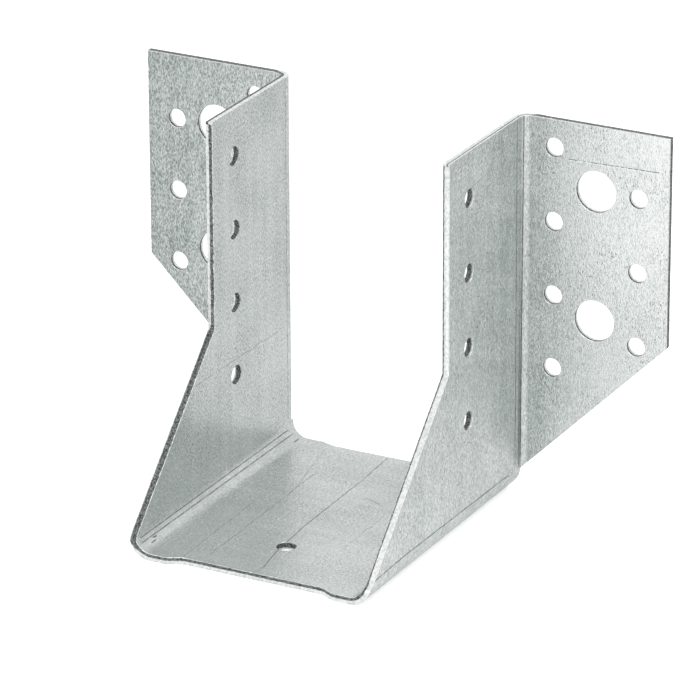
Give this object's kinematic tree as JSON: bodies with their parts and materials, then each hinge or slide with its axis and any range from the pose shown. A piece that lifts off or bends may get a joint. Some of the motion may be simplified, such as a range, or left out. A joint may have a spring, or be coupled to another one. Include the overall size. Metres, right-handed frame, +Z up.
{
  "type": "joist hanger",
  "caption": "Face-fix joist hanger folded from galvanised steel sheet, with a deep seat, side plates that slant forward to it, and flat flanges punched for nails and bolts.",
  "frame": {"origin": "middle of the width and of the seat's depth, at the seat's underside; the header's face is the plane y = +0.043 m", "axes": "+X across the joist to the right as seen from the joist, +Y from the joist to the header, +Z up"},
  "size_m": [0.15, 0.086, 0.103],
  "materials": {
    "galvanised_steel": "hot-dip galvanised, matt with a fine rolled grain"
  },
  "bodies": {
    "root": {"hanger": "galvanised_steel"}
  },
  "joints": []
}
